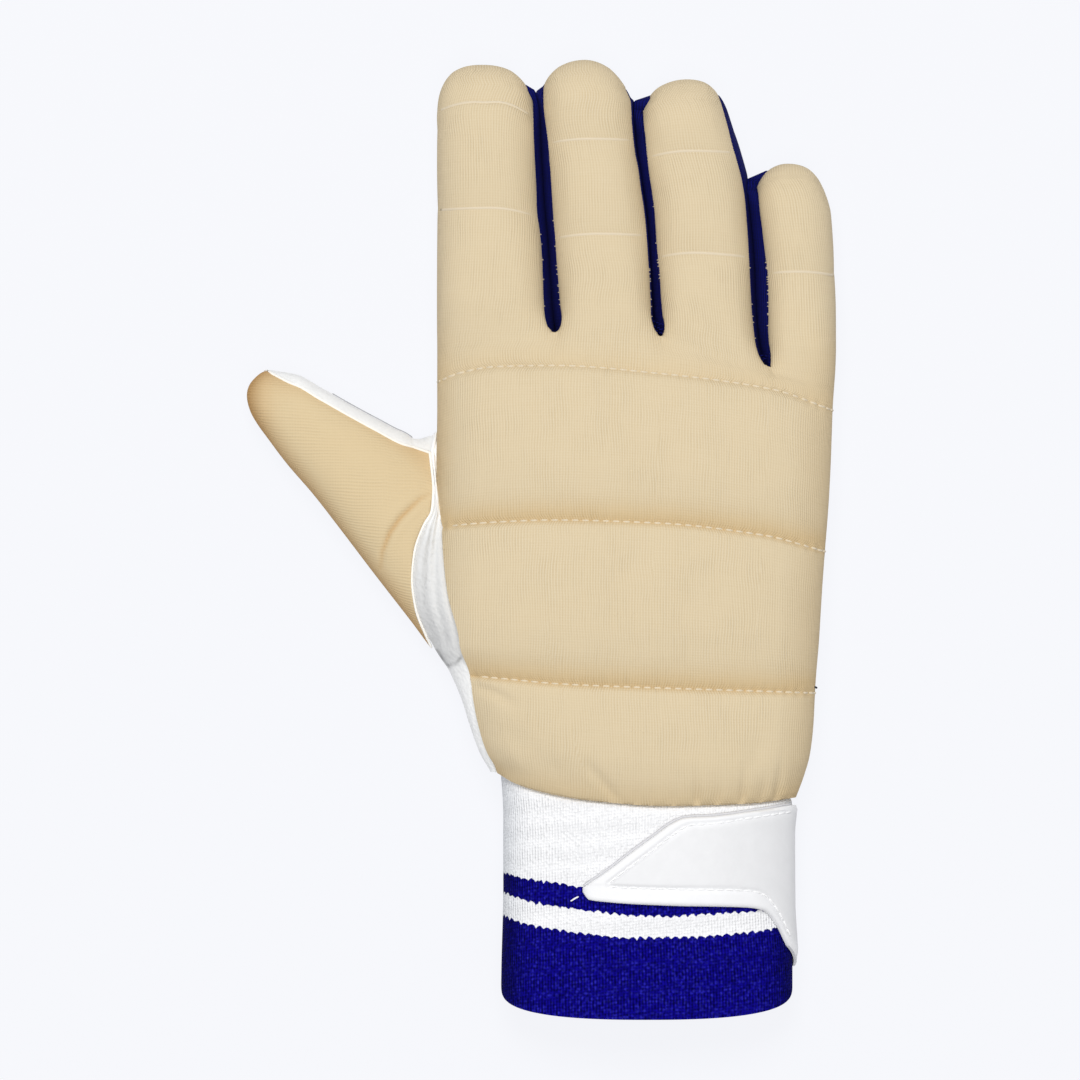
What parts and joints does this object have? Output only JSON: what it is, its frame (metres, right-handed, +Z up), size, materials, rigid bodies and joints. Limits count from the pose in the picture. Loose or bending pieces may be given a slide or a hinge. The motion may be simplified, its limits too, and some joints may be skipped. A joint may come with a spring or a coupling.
{
  "type": "wicketkeeping inner glove",
  "caption": "Padded inner glove for a wicketkeeper's right hand, with quilted knit back, navy finger strips, white thumb gusset, striped knit cuff and a strap.",
  "frame": {"origin": "middle of the glove's footprint, on the surface that its palm rests on", "axes": "+X towards the little finger, +Y towards the fingertips, +Z up out of the padded back"},
  "size_m": [0.1646, 0.2688, 0.0344],
  "materials": {
    "beige_knit": "fine ribbed knit over foam",
    "white_leather": "soft matt grain",
    "navy_knit": "close knit strip",
    "cuff_knit": "elastic rib knit, white with a navy stripe and a navy lower band",
    "strap_synthetic": "smooth synthetic leather with a stitched edge"
  },
  "bodies": {
    "root": {"back_panel": "beige_knit", "palm_panel": "white_leather", "fourchette_index_middle": "navy_knit", "fourchette_middle_ring": "navy_knit", "fourchette_ring_little": "navy_knit", "thumb_front": "beige_knit", "thumb_back": "white_leather", "thumb_gusset": "white_leather", "cuff": "cuff_knit", "closure_strap": "strap_synthetic"}
  },
  "joints": []
}
